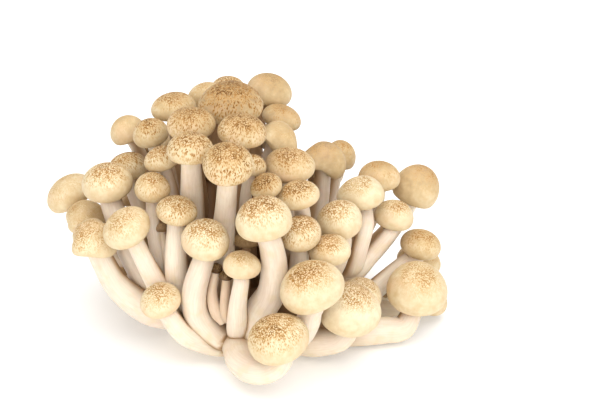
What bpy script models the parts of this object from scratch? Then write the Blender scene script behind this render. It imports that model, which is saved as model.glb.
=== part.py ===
"""A cluster of beech mushrooms, standing on the flat cut face of its butt.

Fifty-nine tan caps sit on cream stems that are grown together at the bottom. Each cap is its own solid.
The stems and the butt that they grow from are one solid, because they are one piece of flesh in one colour.
Units are metres, +Z is up, and the origin is the middle of the cut face, on the surface it stands on.
"""

import math

import bpy
import numpy as np

MM = 0.001
GAP = 0.35 * MM  # left between a cap and whatever it touches
UP = np.array([0.0, 0.0, 1.0])
ACROSS = np.array([1.0, 0.0, 0.0])

# How the cluster is seen: an eye in front of it, looking down along INTO with ABOVE upright in its view.
EYE_TILT = math.radians(25)
EYE_DISTANCE = 650 * MM
VIEW_CENTRE = (17.0, 38.7)  # mm across and up from the origin, where the eye looks
INTO = np.array([0.0, math.cos(EYE_TILT), -math.sin(EYE_TILT)])
ABOVE = np.array([0.0, math.sin(EYE_TILT), math.cos(EYE_TILT)])

# Caps that the eye sees, in mm and degrees. Across, up and width are as they look from the eye, behind is how
# far past the butt's middle they are, tall is height over radius, lean is to the right and nod is to the eye,
# and fold is how far the edge is pulled out of round.
SEEN_CAPS = (
    # across, up, behind, width, tall, lean, nod, fold
    (7.8, -6.5, -57, 20.5, 1.05, -14, 8, 0.00),
    (18.8, 11.0, -54, 21.8, 0.94, -12, 12, 0.00),
    (31.4, 3.5, -35, 21.9, 0.98, 14, 10, 0.02),
    (3.0, 33.5, -56, 19.6, 0.96, -8, 6, 0.00),
    (-16.4, 26.6, -46, 16.5, 1.06, 2, 12, 0.00),
    (-4.4, 18.2, -50, 12.4, 0.92, 4, 8, 0.00),
    (-31.6, 6.6, -40, 13.8, 0.88, -12, 24, 0.00),
    (-42.6, 30.6, -38, 16.6, 0.94, -24, 14, 0.00),
    (-54.0, 26.8, -28, 16.8, 0.86, -18, 12, 0.11),
    (-57.0, 34.0, -14, 14.5, 0.95, -28, 6, 0.11),
    (-61.9, 42.3, -5, 17.0, 0.88, -28, 0, 0.00),
    (-49.2, 45.6, -24, 17.2, 0.99, -4, 6, 0.00),
    (-42.4, 50.6, -6, 14.0, 0.96, -14, -6, 0.00),
    (-34.2, 44.0, -31, 12.2, 1.06, 2, 10, 0.00),
    (-26.0, 36.4, -39, 13.8, 0.85, 3, 8, 0.00),
    (-21.6, 57.0, -44, 15.6, 0.90, 0, 4, 0.00),
    (-9.1, 51.8, -54, 17.5, 1.03, -2, 12, 0.00),
    (-31.0, 53.6, -26, 11.8, 0.92, -14, 4, 0.00),
    (-34.7, 62.0, -15, 11.8, 1.14, -12, 4, 0.00),
    (-42.4, 63.0, -3, 11.7, 1.14, -20, 0, 0.00),
    (-27.0, 70.8, -6, 15.5, 0.80, -6, 0, 0.00),
    (-21.4, 65.2, -30, 16.1, 0.85, 0, 6, 0.00),
    (-15.8, 74.4, 4, 13.0, 0.95, -6, 0, 0.00),
    (-8.2, 72.0, -15, 21.2, 0.87, 2, 4, 0.02),
    (-9.0, 77.2, 16, 11.5, 0.90, 0, 0, 0.00),
    (4.6, 76.4, 6, 15.1, 1.00, 12, 0, 0.00),
    (8.8, 67.4, -1, 13.2, 0.80, 16, 0, 0.00),
    (7.6, 59.8, -14, 15.2, 0.95, 26, 6, 0.14),
    (-4.3, 63.0, -34, 16.8, 0.80, 8, 6, 0.00),
    (-0.8, 51.5, -38, 9.4, 1.00, 16, 6, 0.00),
    (11.7, 51.6, -28, 17.0, 0.74, 3, 8, 0.00),
    (3.8, 44.6, -43, 11.0, 0.90, -14, 12, 0.00),
    (14.5, 41.6, -40, 14.0, 0.80, -12, 8, 0.00),
    (15.0, 28.8, -44, 14.6, 1.00, -8, 12, 0.00),
    (22.6, 53.4, -11, 14.2, 1.08, 0, 6, 0.13),
    (28.2, 54.5, 2, 11.0, 1.30, 10, 0, 0.03),
    (35.2, 42.1, -18, 16.0, 0.84, -16, 8, 0.03),
    (41.3, 47.5, -5, 13.8, 1.02, 0, 0, 0.00),
    (53.7, 44.0, 3, 15.2, 1.40, 22, 0, 0.00),
    (46.4, 34.7, -12, 13.3, 0.98, 8, 4, 0.00),
    (28.2, 33.1, -30, 15.9, 1.04, -10, 10, 0.00),
    (25.0, 23.2, -42, 14.1, 0.86, -8, 10, 0.00),
    (55.2, 25.0, -6, 13.6, 0.92, 12, 4, 0.00),
    (54.5, 19.8, 8, 15.3, 0.85, 16, -6, 0.00),
    (54.1, 10.3, -18, 20.1, 1.12, 4, 20, 0.00),
    (58.6, 6.2, -1, 11.4, 1.05, 16, 6, 0.00),
    (35.5, 8.4, -19, 14.0, 0.95, 10, 14, 0.00),
)

# Caps on the far side of the cluster: place in mm in the object's own frame, and width.
FAR_CAPS = (
    # x, y, z, width
    (-30, 40, 48, 18.0),
    (-45, 34, 34, 16.0),
    (-48, 22, 20, 15.0),
    (-24, 50, 33, 19.0),
    (-14, 46, 49, 18.0),
    (6, 42, 49, 15.5),
    (22, 35, 41, 17.0),
    (6, 50, 33, 18.0),
    (-10, 54, 19, 19.0),
    (-34, 46, 16, 18.0),
    (23, 44, 22, 17.0),
    (7, 52, 13, 16.0),
)
FAR_TALL = 0.95
FAR_LEAN_SHARE = 0.62  # of the angle at which a far cap stands out from the butt

# A cap's profile, as shares of its radius and of its height over the seat where the stem meets it.
DOME_RINGS = ((0.46, 0.90), (0.80, 0.62))
RIM_HEIGHT = 0.20
LIP_RING = (0.82, -0.17)
GILL_RADIUS = 0.63
GILL_RIDGE, GILL_VALLEY = -0.13, 0.06
SEAT_RADIUS = 0.43
SEAT_DIMPLE = 0.05
CAP_MIDDLE = 0.42  # height of the middle of the body
SEEN_MIDDLE = 0.22  # height of the middle of what the eye sees of it
LARGE_CAP = 7.0 * MM
COLUMNS_LARGE, COLUMNS_SMALL = 12, 10

# The butt, a low mound of joined stem feet with a flat cut face under it.
BUTT_RADIUS = 27.0 * MM
BUTT_PROFILE = ((1.00, 0.0), (1.05, 3.5), (1.01, 8.0), (0.80, 14.0), (0.42, 19.0))  # share of radius, mm up
BUTT_TOP = 20.5 * MM
BUTT_COLUMNS = 20

# Stems run from the butt to the seats.
STEM_SIDES_LARGE, STEM_SIDES_SMALL = 7, 6
STEM_RINGS_SEEN, STEM_RINGS = 9, 7
LINE_POINTS = 17
STEM_TOP = 0.36  # radius at the seat, as a share of the cap's radius
STEM_SWELL = 0.26  # what the foot adds to that
# Stems that are thicker or thinner than that, by the number of their cap.
STEM_GIRTHS = {
    1: 0.92, 2: 0.9, 3: 0.84, 4: 1.06, 5: 1.18, 6: 1.06, 7: 1.28, 9: 1.2, 12: 1.1, 14: 1.0, 15: 1.18, 16: 1.1,
    17: 1.0, 37: 0.76, 45: 0.86,
}
FOOT_SHARE = 0.2  # of the stem's length, over which it narrows again into the butt
ROOT_REACH = 21.0 * MM
ROOT_SPREAD = 27.0 * MM
ROOT_HEIGHT, ROOT_RISE = 5.0 * MM, 5.0 * MM
SPLAY = 1.35  # how much further out than its cap a stem heads when it leaves the butt
ROOT_PULL, SEAT_PULL = 0.36, 0.34  # of a stem's length, how long it holds each end's direction
FLOOR_CLEAR = 0.6 * MM

# Courses of the stems that the eye sees, by the number of their cap: points in mm across, up and behind, from
# the root in the butt to just under the cap.
STEM_COURSES = {
    1: ((-6, -6, -20), (-6, -8.7, -31), (-5, -13.4, -42), (-1, -16.7, -49), (4.3, -17, -51), (8, -14.6, -52)),
    2: ((8, -6, -22), (14, -5, -36), (17.5, -1, -45), (18.5, 3, -50)),
    3: ((10, -6, -18), (17.7, -7.7, -26), (22.3, -7.7, -29), (27.7, -6.8, -31), (30.3, -4, -32)),
    4: ((-2, -4, -22), (-1.7, -3, -33), (2, 4, -38), (5, 9.3, -43), (5.7, 17.3, -47), (4.7, 26, -52)),
    5: ((-6, -5, -18), (-11, -6, -27), (-15.3, -3, -31), (-19, 1.3, -34), (-20.3, 6, -37), (-19.7, 12, -41)),
    6: ((-4, -5, -24), (-5.7, -3, -36), (-5.7, 4.7, -43), (-4.5, 13, -48)),
    7: ((-6, -6, -16), (-11, -8.3, -26), (-16.7, -7.7, -29), (-23.7, -5, -34), (-28.5, 1, -37)),
    8: ((-14, -2, -17), (-24, 0, -27), (-29, 6, -30), (-33.3, 13, -33), (-36.7, 19.3, -35)),
    9: ((-18, 1, -14), (-32.3, 2.7, -23), (-38.3, 5.3, -24), (-43.7, 9.3, -25), (-47.7, 14, -25)),
    12: ((-15, 3, -12), (-32, 9, -20), (-40, 20, -21), (-45.7, 33, -22)),
    14: ((-12, 0, -13), (-22, 3, -21), (-28, 12.3, -25), (-31.4, 20.7, -27), (-33.6, 30, -29)),
    15: ((-13, -2, -17), (-22.5, 2, -27), (-25.3, 11, -31), (-26.3, 20.7, -35)),
    16: ((-10, 2, -10), (-17, 12, -16), (-20.5, 26, -24), (-21.3, 36, -28), (-21.5, 46, -35)),
    17: ((-5, 0, -18), (-8.5, 6, -24), (-10.6, 16, -30), (-10.5, 28, -35), (-9.6, 38, -41), (-9.1, 45, -49)),
    37: ((13, 2, -9), (24, 8, -9.5), (30, 14, -11), (33.1, 18.3, -14), (35, 24.6, -16.5), (37, 32, -18)),
    40: ((15, 2, -9), (27, 9, -12), (34.4, 15.2, -13), (38, 19.6, -12.5), (41.9, 24.6, -12),
         (45.6, 29.6, -12)),
    43: ((16, 1, -8), (32, 4, -11), (40, 10.3, -9), (50, 19, -5)),
    45: ((20, -4, -16), (33.3, -4, -20), (38.7, -3.7, -19), (44.3, -3.3, -18), (49.7, -2.3, -17)),
}


def unit(vector):
    """The vector or vectors at length 1."""
    return vector / np.linalg.norm(vector, axis=-1, keepdims=True)


def on_sight_line(across, up, behind):
    """The point that the eye sees at (across, up) mm, behind mm past the butt's middle."""
    nearer = 1 + behind * MM / EYE_DISTANCE
    centre = VIEW_CENTRE[0] * MM * ACROSS + VIEW_CENTRE[1] * MM * ABOVE
    offset = (across - VIEW_CENTRE[0]) * MM * ACROSS + (up - VIEW_CENTRE[1]) * MM * ABOVE
    return centre + behind * MM * INTO + offset * nearer


def leaning_axis(lean, nod):
    """Upright, turned lean degrees to the right and nod degrees to the eye."""
    lean, nod = math.radians(lean), math.radians(nod)
    return unit(np.array([math.tan(lean), -math.tan(nod), 1.0]))


def read_caps():
    """Every cap as its middle, axis, radius, height and fold, seen caps first."""
    caps = []
    for across, up, behind, width, tall, lean, nod, fold in SEEN_CAPS:
        radius = width / 2 * MM * (1 + behind * MM / EYE_DISTANCE)
        axis = leaning_axis(lean, nod)
        middle = on_sight_line(across, up, behind) + axis * (CAP_MIDDLE - SEEN_MIDDLE) * radius * tall
        caps.append((middle, axis, radius, radius * tall, fold))
    for x, y, z, width in FAR_CAPS:
        middle = np.array([x, y, z]) * MM
        tilt = FAR_LEAN_SHARE * math.atan2(math.hypot(x, y), z)
        outward = unit(np.array([x, y, 0.0]))
        axis = outward * math.sin(tilt) + UP * math.cos(tilt)
        radius = width / 2 * MM
        caps.append((middle, axis, radius, radius * FAR_TALL, 0.0))
    middles, axes, radii, heights, folds = (np.array(column) for column in zip(*caps))
    return middles, axes, radii, heights, folds


def reach_towards(direction, axes, radii, heights):
    """How far a cap reaches from its middle along a direction, taking it as a flattened ball."""
    along = np.sum(direction * axes, axis=-1)
    half = heights * (1 - LIP_RING[1]) / 2
    return 1 / np.sqrt((along / half) ** 2 + (1 - along**2) / radii**2)


def settle(middles, axes, radii, heights, folds):
    """Moves caps that press into each other apart. Seen caps slide along the line of sight, so the view
    stays the same, and far caps move straight away."""
    middles = middles.copy()
    slack = 1.05 + folds
    seen = np.arange(len(middles)) < len(SEEN_CAPS)
    for _ in range(400):
        worst = 0.0
        for i in range(len(middles)):
            for j in range(i + 1, len(middles)):
                apart = middles[j] - middles[i]
                distance = np.linalg.norm(apart)
                if distance > radii[i] + radii[j] + 3 * MM:
                    continue
                way = apart / distance
                need = reach_towards(way, axes[i], radii[i], heights[i]) * slack[i]
                need += reach_towards(way, axes[j], radii[j], heights[j]) * slack[j] + GAP
                short = need - distance
                if short <= 0:
                    continue
                worst = max(worst, short)
                if seen[i] and seen[j]:
                    push = INTO * math.copysign(0.5 * short, apart @ INTO)
                    middles[i] -= push
                    middles[j] += push
                elif seen[i]:
                    middles[j] += way * short
                else:
                    middles[i] -= way * 0.5 * short
                    middles[j] += way * 0.5 * short
        if worst < 0.01 * MM:
            break
    return middles


def edge_waves(number, fold):
    """The cap's outline as (waves, size, phase) terms that pull its radius in and out."""
    chance = np.random.default_rng(number)
    phases = chance.uniform(0, 2 * math.pi, 3)
    return ((2, 0.025 + fold, phases[0]), (3, 0.018 + 0.7 * fold, phases[1]), (5, 0.3 * fold, phases[2]))


def outline(angles, waves):
    """Share of the radius at each angle round the axis: 1 plus the sum of the cosine waves."""
    return 1 + sum(size * np.cos(count * angles + phase) for count, size, phase in waves)


def frame_round(axis):
    """Two unit vectors square to an axis and to each other."""
    side = unit(np.cross(UP if abs(axis[2]) < 0.9 else ACROSS, axis))
    return side, np.cross(axis, side)


def ring(seat, axis, radius, height, angles):
    """Points at a radius and height over the seat. Radius and height may differ from angle to angle."""
    side, other = frame_round(axis)
    turned = np.outer(np.cos(angles), side) + np.outer(np.sin(angles), other)
    return seat + turned * np.reshape(radius, (-1, 1)) + np.outer(np.broadcast_to(height, angles.shape), axis)


def add_fan(faces, centre, start, count, reverse):
    """Triangles from a centre point to a ring of points."""
    for k in range(count):
        a, b = start + k, start + (k + 1) % count
        faces.append((centre, b, a) if reverse else (centre, a, b))


def add_band(faces, upper, lower, count):
    """Quads split in two between two rings of the same count."""
    for k in range(count):
        n = (k + 1) % count
        faces.append((upper + k, lower + k, lower + n))
        faces.append((upper + k, lower + n, upper + n))


def cap_mesh(seat, axis, radius, height, waves, swell=0.0):
    """One cap: dome, rim, lip rolled in under it, gills as ridges, and the seat where the stem meets it.
    With swell it grows by that much all over and has no gills, to cut clearance in what lies against it."""
    columns = COLUMNS_LARGE if radius > LARGE_CAP else COLUMNS_SMALL
    angles = np.arange(columns) * 2 * math.pi / columns
    share = outline(angles, waves)
    rings = [(r * radius * share + swell, h * height + swell) for r, h in DOME_RINGS]
    rings.append((radius * share + swell, RIM_HEIGHT * height))
    rings.append((LIP_RING[0] * radius * share + swell, LIP_RING[1] * height - swell))
    points = [seat[None] + axis * (height + swell)]
    points += [ring(seat, axis, r, h, angles) for r, h in rings]
    faces = []
    add_fan(faces, 0, 1, columns, False)
    for k in range(len(rings) - 1):
        add_band(faces, 1 + k * columns, 1 + (k + 1) * columns, columns)
    lip = 1 + (len(rings) - 1) * columns
    inner = lip + columns
    if swell:
        points.append(ring(seat, axis, GILL_RADIUS * radius - swell, GILL_RIDGE * height - swell, angles))
        add_band(faces, lip, inner, columns)
        seat_ring = inner + columns
        add_band(faces, inner, seat_ring, columns)
    else:
        fine = np.arange(2 * columns) * math.pi / columns
        gill_heights = np.where(np.arange(2 * columns) % 2, GILL_VALLEY, GILL_RIDGE) * height
        points.append(ring(seat, axis, GILL_RADIUS * radius, gill_heights, fine))
        seat_ring = inner + 2 * columns
        for k in range(columns):
            n, a, b = (k + 1) % columns, inner + 2 * k, inner + 2 * k + 1
            c = inner + (2 * k + 2) % (2 * columns)
            faces += [(lip + k, a, b), (lip + k, b, lip + n), (lip + n, b, c)]
            faces += [(seat_ring + k, b, a), (seat_ring + k, seat_ring + n, b), (seat_ring + n, c, b)]
    points.append(ring(seat, axis, SEAT_RADIUS * radius - 0.5 * swell, -0.7 * swell, angles))
    points.append(seat[None] + axis * (SEAT_DIMPLE * height - 0.7 * swell))
    add_fan(faces, seat_ring + columns, seat_ring, columns, True)
    return np.concatenate(points), faces


def root_of(seat):
    """Where a stem starts in the butt: under its cap, drawn in to the butt's edge."""
    reach = math.hypot(seat[0], seat[1])
    out = ROOT_REACH * math.tanh(reach / ROOT_SPREAD)
    rise = ROOT_HEIGHT + ROOT_RISE * (1 - out / ROOT_REACH)
    return np.array([out * seat[0] / reach, out * seat[1] / reach, rise])


def splayed_line(seat, axis):
    """The middle line of a stem from root to seat: a cubic Bezier that leaves the butt splayed outwards
    and comes up into the cap along the cap's own axis."""
    root = root_of(seat)
    span = seat - root
    length = np.linalg.norm(span)
    tilt = min(SPLAY * math.atan2(math.hypot(span[0], span[1]), span[2]), math.radians(92))
    outward = unit(np.array([root[0], root[1], 0.0]) + 0.5 * np.array([span[0], span[1], 0.0]))
    leave = root + (outward * math.sin(tilt) + UP * math.cos(tilt)) * ROOT_PULL * length
    arrive = seat - axis * SEAT_PULL * length
    t = np.linspace(0, 1, LINE_POINTS)[:, None]
    return (1 - t) ** 3 * root + 3 * (1 - t) ** 2 * t * leave + 3 * (1 - t) * t**2 * arrive + t**3 * seat


def line_through(points):
    """A line of evenly spaced points on the curve through the given points, where the direction at each is
    that from the point before it to the point after it."""
    points = np.array(points)
    ends = np.concatenate([2 * points[:1] - points[1:2], points, 2 * points[-1:] - points[-2:-1]])
    t = np.linspace(0, 1, 9)[:-1, None]
    pieces = []
    for a, b, c, d in zip(ends[:-3], ends[1:-2], ends[2:-1], ends[3:]):
        square, cube = 2 * a - 5 * b + 4 * c - d, 3 * b - a - 3 * c + d
        pieces.append(0.5 * (2 * b + (c - a) * t + square * t**2 + cube * t**3))
    return spaced(np.concatenate(pieces + [points[-1:]]), LINE_POINTS)


def spaced(line, count):
    """The line with this many points, evenly spaced along it."""
    walked = np.concatenate([[0.0], np.cumsum(np.linalg.norm(np.diff(line, axis=0), axis=1))])
    wanted = np.linspace(0, walked[-1], count)
    return np.stack([np.interp(wanted, walked, line[:, k]) for k in range(3)], axis=1)


def stem_line(number, seat, axis, radius):
    """The middle line of one cap's stem, by its course where it has one."""
    if number not in STEM_COURSES:
        return spaced(splayed_line(seat, axis), LINE_POINTS)
    course = [on_sight_line(*point) for point in STEM_COURSES[number]]
    return line_through(course + [seat - axis * 0.35 * radius, seat])


def stem_radii(number, cap_radius, count):
    """Radius along a stem: the cap's times (STEM_TOP plus a swell that grows to the foot, then fades)."""
    t = np.linspace(0, 1, count)
    foot = np.clip(t / FOOT_SHARE, 0, 1)
    share = STEM_TOP + STEM_SWELL * (1 - t) * foot * foot * (3 - 2 * foot)
    return cap_radius * share * STEM_GIRTHS.get(number, 1)


def bend_clear(lines, widths, middles, axes, radii, heights):
    """Bends stem lines out of every cap but their own and off the surface below, with both ends held."""
    held = np.sin(np.linspace(0, math.pi, LINE_POINTS))[:, None]
    held = np.minimum(held * 3, 1)
    half = heights * (1 - LIP_RING[1]) / 2
    offset = np.zeros_like(lines)
    for _ in range(200):
        now = lines + offset
        moved = np.zeros_like(lines)
        for j in range(len(middles)):
            away = now - middles[j]
            along = away @ axes[j]
            flat = away - along[..., None] * axes[j]
            out = np.linalg.norm(flat, axis=-1)
            wide = radii[j] * 1.04 + widths + GAP
            high = half[j] + widths + GAP
            depth = np.sqrt((out / wide) ** 2 + (along / high) ** 2)
            pressed = depth < 1
            pressed[j] = False
            way = flat / (wide**2)[..., None] + (along / high**2)[..., None] * axes[j]
            way = way / np.maximum(np.linalg.norm(way, axis=-1, keepdims=True), 1e-9)
            moved += np.where(pressed[..., None], way * ((1 - depth) * wide)[..., None] * 0.5, 0)
        moved[..., 2] += np.maximum(widths + FLOOR_CLEAR - now[..., 2] - moved[..., 2], 0)
        offset += moved * held
        offset[:, 1:-1] = 0.7 * offset[:, 1:-1] + 0.15 * (offset[:, :-2] + offset[:, 2:])
    return lines + offset


def tube_mesh(line, widths, sides):
    """A closed tube round a line, with rings square to it, carried along without twisting."""
    along = unit(np.gradient(line, axis=0))
    side, _ = frame_round(along[0])
    points = []
    angles = np.arange(sides) * 2 * math.pi / sides
    for place, ahead, width in zip(line, along, widths):
        side = unit(side - ahead * (side @ ahead))
        other = np.cross(ahead, side)
        points.append(place + width * (np.outer(np.cos(angles), side) + np.outer(np.sin(angles), other)))
    faces = []
    for k in range(len(line) - 1):
        add_band(faces, (k + 1) * sides, k * sides, sides)
    last = len(line) * sides
    points += [line[:1], line[-1:]]
    add_fan(faces, last, 0, sides, True)
    add_fan(faces, last + 1, last - sides, sides, False)
    return np.concatenate(points), faces


def butt_mesh():
    """The butt as a turned mound with a flat face at height 0."""
    angles = np.arange(BUTT_COLUMNS) * 2 * math.pi / BUTT_COLUMNS
    ripple = 1 + 0.03 * np.cos(3 * angles + 1.0) + 0.03 * np.cos(5 * angles)
    origin = np.zeros(3)
    points = [ring(origin, UP, BUTT_RADIUS * share * ripple, up * MM, angles) for share, up in BUTT_PROFILE]
    faces = []
    for k in range(len(BUTT_PROFILE) - 1):
        add_band(faces, (k + 1) * BUTT_COLUMNS, k * BUTT_COLUMNS, BUTT_COLUMNS)
    last = len(BUTT_PROFILE) * BUTT_COLUMNS
    points += [origin[None], UP[None] * BUTT_TOP]
    add_fan(faces, last, 0, BUTT_COLUMNS, True)
    add_fan(faces, last + 1, last - BUTT_COLUMNS, BUTT_COLUMNS, False)
    return np.concatenate(points), faces


def finish(name, colour, roughness):
    """A plain material with a colour and a roughness."""
    material = bpy.data.materials.new(name)
    material.use_nodes = True
    shader = material.node_tree.nodes["Principled BSDF"]
    shader.inputs["Base Color"].default_value = (*colour, 1)
    shader.inputs["Roughness"].default_value = roughness
    shader.inputs["Metallic"].default_value = 0.0
    return material


def solid(name, points, faces, material, collection=None):
    """A smooth-shaded object of these points and faces, placed by its middle."""
    middle = (points.min(axis=0) + points.max(axis=0)) / 2
    mesh = bpy.data.meshes.new(name)
    mesh.from_pydata((points - middle).tolist(), [], faces)
    mesh.materials.append(material)
    mesh.validate()
    mesh.shade_smooth()
    made = bpy.data.objects.new(name, mesh)
    made.location = middle.tolist()
    (collection or bpy.context.scene.collection).objects.link(made)
    return made


def combine(target, collection, operation):
    """Joins a collection to the target, or cuts it away, then removes the collection's objects."""
    modifier = target.modifiers.new(operation.lower(), "BOOLEAN")
    modifier.operation = operation
    modifier.operand_type = "COLLECTION"
    modifier.collection = collection
    modifier.solver = "MANIFOLD"
    bpy.context.view_layer.update()
    graph = bpy.context.evaluated_depsgraph_get()
    made = bpy.data.meshes.new_from_object(target.evaluated_get(graph))
    target.modifiers.clear()
    target.data = made
    for helper in list(collection.objects):
        bpy.data.objects.remove(helper)
    bpy.data.collections.remove(collection)


def side_collection(name):
    """A new collection in the scene for shapes that a Boolean uses up."""
    collection = bpy.data.collections.new(name)
    bpy.context.scene.collection.children.link(collection)
    return collection


def build():
    for old in list(bpy.data.objects):
        bpy.data.objects.remove(old)
    tan = finish("cap_skin", (0.66, 0.47, 0.28), 0.55)
    cream = finish("stem_flesh", (0.85, 0.76, 0.66), 0.5)

    middles, axes, radii, heights, folds = read_caps()
    middles = settle(middles, axes, radii, heights, folds)
    seats = middles - axes * (CAP_MIDDLE * heights)[:, None]
    numbers = range(1, len(middles) + 1)

    ends = seats - axes * 1.3 * GAP
    lines = np.array([stem_line(*stem) for stem in zip(numbers, ends, axes, radii)])
    widths = np.array([stem_radii(number, radius, LINE_POINTS) for number, radius in zip(numbers, radii)])
    lines = bend_clear(lines, widths, middles, axes, radii, heights)

    butt = solid("stem_cluster", *butt_mesh(), cream)
    stems = side_collection("stems")
    for number, line, radius in zip(numbers, lines, radii):
        rings = STEM_RINGS_SEEN if number in STEM_COURSES else STEM_RINGS
        sides = STEM_SIDES_LARGE if radius > LARGE_CAP else STEM_SIDES_SMALL
        tube = tube_mesh(spaced(line, rings), stem_radii(number, radius, rings), sides)
        solid(f"stem_{number:02d}", *tube, cream, stems)
    combine(butt, stems, "UNION")

    clearances = side_collection("clearances")
    for number, seat, axis, radius, height, fold in zip(numbers, seats, axes, radii, heights, folds):
        waves = edge_waves(number, fold)
        solid(f"cap_{number:02d}", *cap_mesh(seat, axis, radius, height, waves), tan)
        swollen = cap_mesh(seat, axis, radius, height, waves, swell=GAP)
        solid(f"clearance_{number:02d}", *swollen, tan, clearances)
    combine(butt, clearances, "DIFFERENCE")


build()
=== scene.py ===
# %% [markdown]
# # A clump of beech mushrooms
# The real thing is one growth: dozens of small mushrooms that share a butt, each with a cream stem and a round
# tan cap freckled with brown. The frame gives the plain solids, one for each cap and one for all the stems. Every
# solid is stood for here by a finer surface worked out with numpy. This is why: a cap is a curve turned about
# an axis, and a stem is a circle carried along a line, so both are short formulas, and a formula can be drawn as
# finely as the eye needs.

import math

import bpy
import numpy as np
from mathutils import Matrix, Vector


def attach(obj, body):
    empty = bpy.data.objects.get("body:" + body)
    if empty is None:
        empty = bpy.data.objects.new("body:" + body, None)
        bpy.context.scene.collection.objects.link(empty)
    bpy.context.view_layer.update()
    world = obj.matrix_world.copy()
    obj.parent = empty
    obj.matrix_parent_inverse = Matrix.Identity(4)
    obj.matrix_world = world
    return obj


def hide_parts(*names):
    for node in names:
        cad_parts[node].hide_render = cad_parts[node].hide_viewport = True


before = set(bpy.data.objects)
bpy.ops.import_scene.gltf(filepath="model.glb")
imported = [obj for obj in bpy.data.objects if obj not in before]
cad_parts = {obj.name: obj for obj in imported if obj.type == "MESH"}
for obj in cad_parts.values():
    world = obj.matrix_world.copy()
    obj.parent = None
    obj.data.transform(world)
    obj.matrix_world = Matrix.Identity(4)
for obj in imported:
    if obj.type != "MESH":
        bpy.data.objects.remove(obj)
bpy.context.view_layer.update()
MM = 0.001


# %% [markdown]
# ## The eye
# The clump is seen from in front and a little above. The eye could be set by hand until the picture looks right,
# but here its place is stated by the same few numbers that placed the caps, so that each cap falls where it
# should: it looks down at 25 degrees from 0.65 m, and three pixels of the picture are one millimetre at the butt.

# %% Set the camera
EYE_TILT = math.radians(25)
EYE_DISTANCE = 650 * MM
VIEW_CENTRE = (17.0, 38.7)
PICTURE_WIDTH = 612 / 3 * MM
UP = np.array([0.0, 0.0, 1.0])
ACROSS = np.array([1.0, 0.0, 0.0])
INTO = np.array([0.0, math.cos(EYE_TILT), -math.sin(EYE_TILT)])
ABOVE = np.array([0.0, math.sin(EYE_TILT), math.cos(EYE_TILT)])

eye = bpy.data.objects.new("eye", bpy.data.cameras.new("eye"))
bpy.context.scene.collection.objects.link(eye)
eye.data.sensor_width = 36.0
eye.data.lens = eye.data.sensor_width * EYE_DISTANCE / PICTURE_WIDTH
eye.data.clip_start = 0.01
eye_place = VIEW_CENTRE[0] * MM * ACROSS + VIEW_CENTRE[1] * MM * ABOVE - EYE_DISTANCE * INTO
turned = Matrix((Vector(ACROSS), Vector(ABOVE), Vector(-INTO))).transposed().to_4x4()
eye.matrix_world = Matrix.Translation(Vector(eye_place)) @ turned
bpy.context.scene.camera = eye
print("lens", round(eye.data.lens, 1), "mm")

# %% [markdown]
# ## Reading the caps
# Each cap's solid is a coarse turned shape. Its crown and its seat, where the stem meets it, are the two corners
# where the most triangles meet, so they can be found without any list, and the line through them is the cap's
# axis. The corners of its widest ring tell how far the outline strays from a circle. Reading the caps keeps the
# fine surface where the solid is, whatever happens to the solids later.

# %% Find each cap's seat, axis, height and outline
SEAT_DIMPLE = 0.05
RIM_HEIGHT, RIM_BAND = 0.20, 0.03
CAP_NAMES = sorted(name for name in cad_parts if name.startswith("cap_"))


def unit(vector):
    """The vector or vectors at length 1."""
    return vector / np.linalg.norm(vector, axis=-1, keepdims=True)


def frame_round(axis):
    """Two unit vectors square to an axis and to each other."""
    side = unit(np.cross(UP if abs(axis[2]) < 0.9 else ACROSS, axis))
    return side, np.cross(axis, side)


def corners_of(node):
    """The solid's corners, with how many triangles meet at each."""
    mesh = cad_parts[node].data
    places = np.empty(3 * len(mesh.vertices), np.float32)
    mesh.vertices.foreach_get("co", places)
    used = np.empty(len(mesh.loops), np.int32)
    mesh.loops.foreach_get("vertex_index", used)
    rounded = np.round(places.reshape(-1, 3).astype(float), 6)
    corners, which = np.unique(rounded, axis=0, return_inverse=True)
    return corners, np.bincount(which.reshape(-1)[used], minlength=len(corners))


def outline_of(angles, radii):
    """Fits radius times (1 plus waves of 2, 3 and, where there are corners enough, 5 turns) to the rim."""
    turns = (2, 3, 5) if len(angles) > 10 else (2, 3)
    waves = [np.ones_like(angles)] + [f(n * angles) for n in turns for f in (np.cos, np.sin)]
    found = np.linalg.lstsq(np.stack(waves, axis=1), radii, rcond=None)[0]
    pairs = found[1:].reshape(-1, 2) / found[0]
    return found[0], [(n, a, b) for n, (a, b) in zip(turns, pairs)]


def read_cap(node):
    """Seat, axis, height, radius and outline waves of one cap's solid."""
    corners, meeting = corners_of(node)
    ends = corners[np.argsort(meeting)[-2:]]
    gaps = np.linalg.norm(ends - corners.mean(axis=0), axis=1)
    crown, dimple = ends[np.argmax(gaps)], ends[np.argmin(gaps)]
    axis = unit(crown - dimple)
    height = np.linalg.norm(crown - dimple) / (1 - SEAT_DIMPLE)
    seat = crown - axis * height
    away = corners - seat
    level = away @ axis
    rim = np.abs(level / height - RIM_HEIGHT) < RIM_BAND
    side, other = frame_round(axis)
    flat = away[rim]
    angles = np.arctan2(flat @ other, flat @ side)
    radius, waves = outline_of(angles, np.hypot(flat @ other, flat @ side))
    return seat, axis, height, radius, waves


CAPS = [read_cap(name) for name in CAP_NAMES]
SEATS, AXES = (np.array([cap[k] for cap in CAPS]) for k in (0, 1))
HEIGHTS, RADII = (np.array([cap[k] for cap in CAPS]) for k in (2, 3))
print("caps", len(CAPS), "widths in mm from", round(2 * RADII.min() / MM, 1), "to", round(2 * RADII.max() / MM, 1))

# %% [markdown]
# ## Rows of points into a surface
# Every shape here is a grid of points: rows along a profile or a line, and columns round it. One helper makes the
# mesh for all of them. A row closes on itself, and a single point closes each end with a fan of triangles, so
# the surface has no seam and no hole. Values worked out for each point, such as how far it is from the crown,
# go along as attributes, and the finishes read them.

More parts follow.
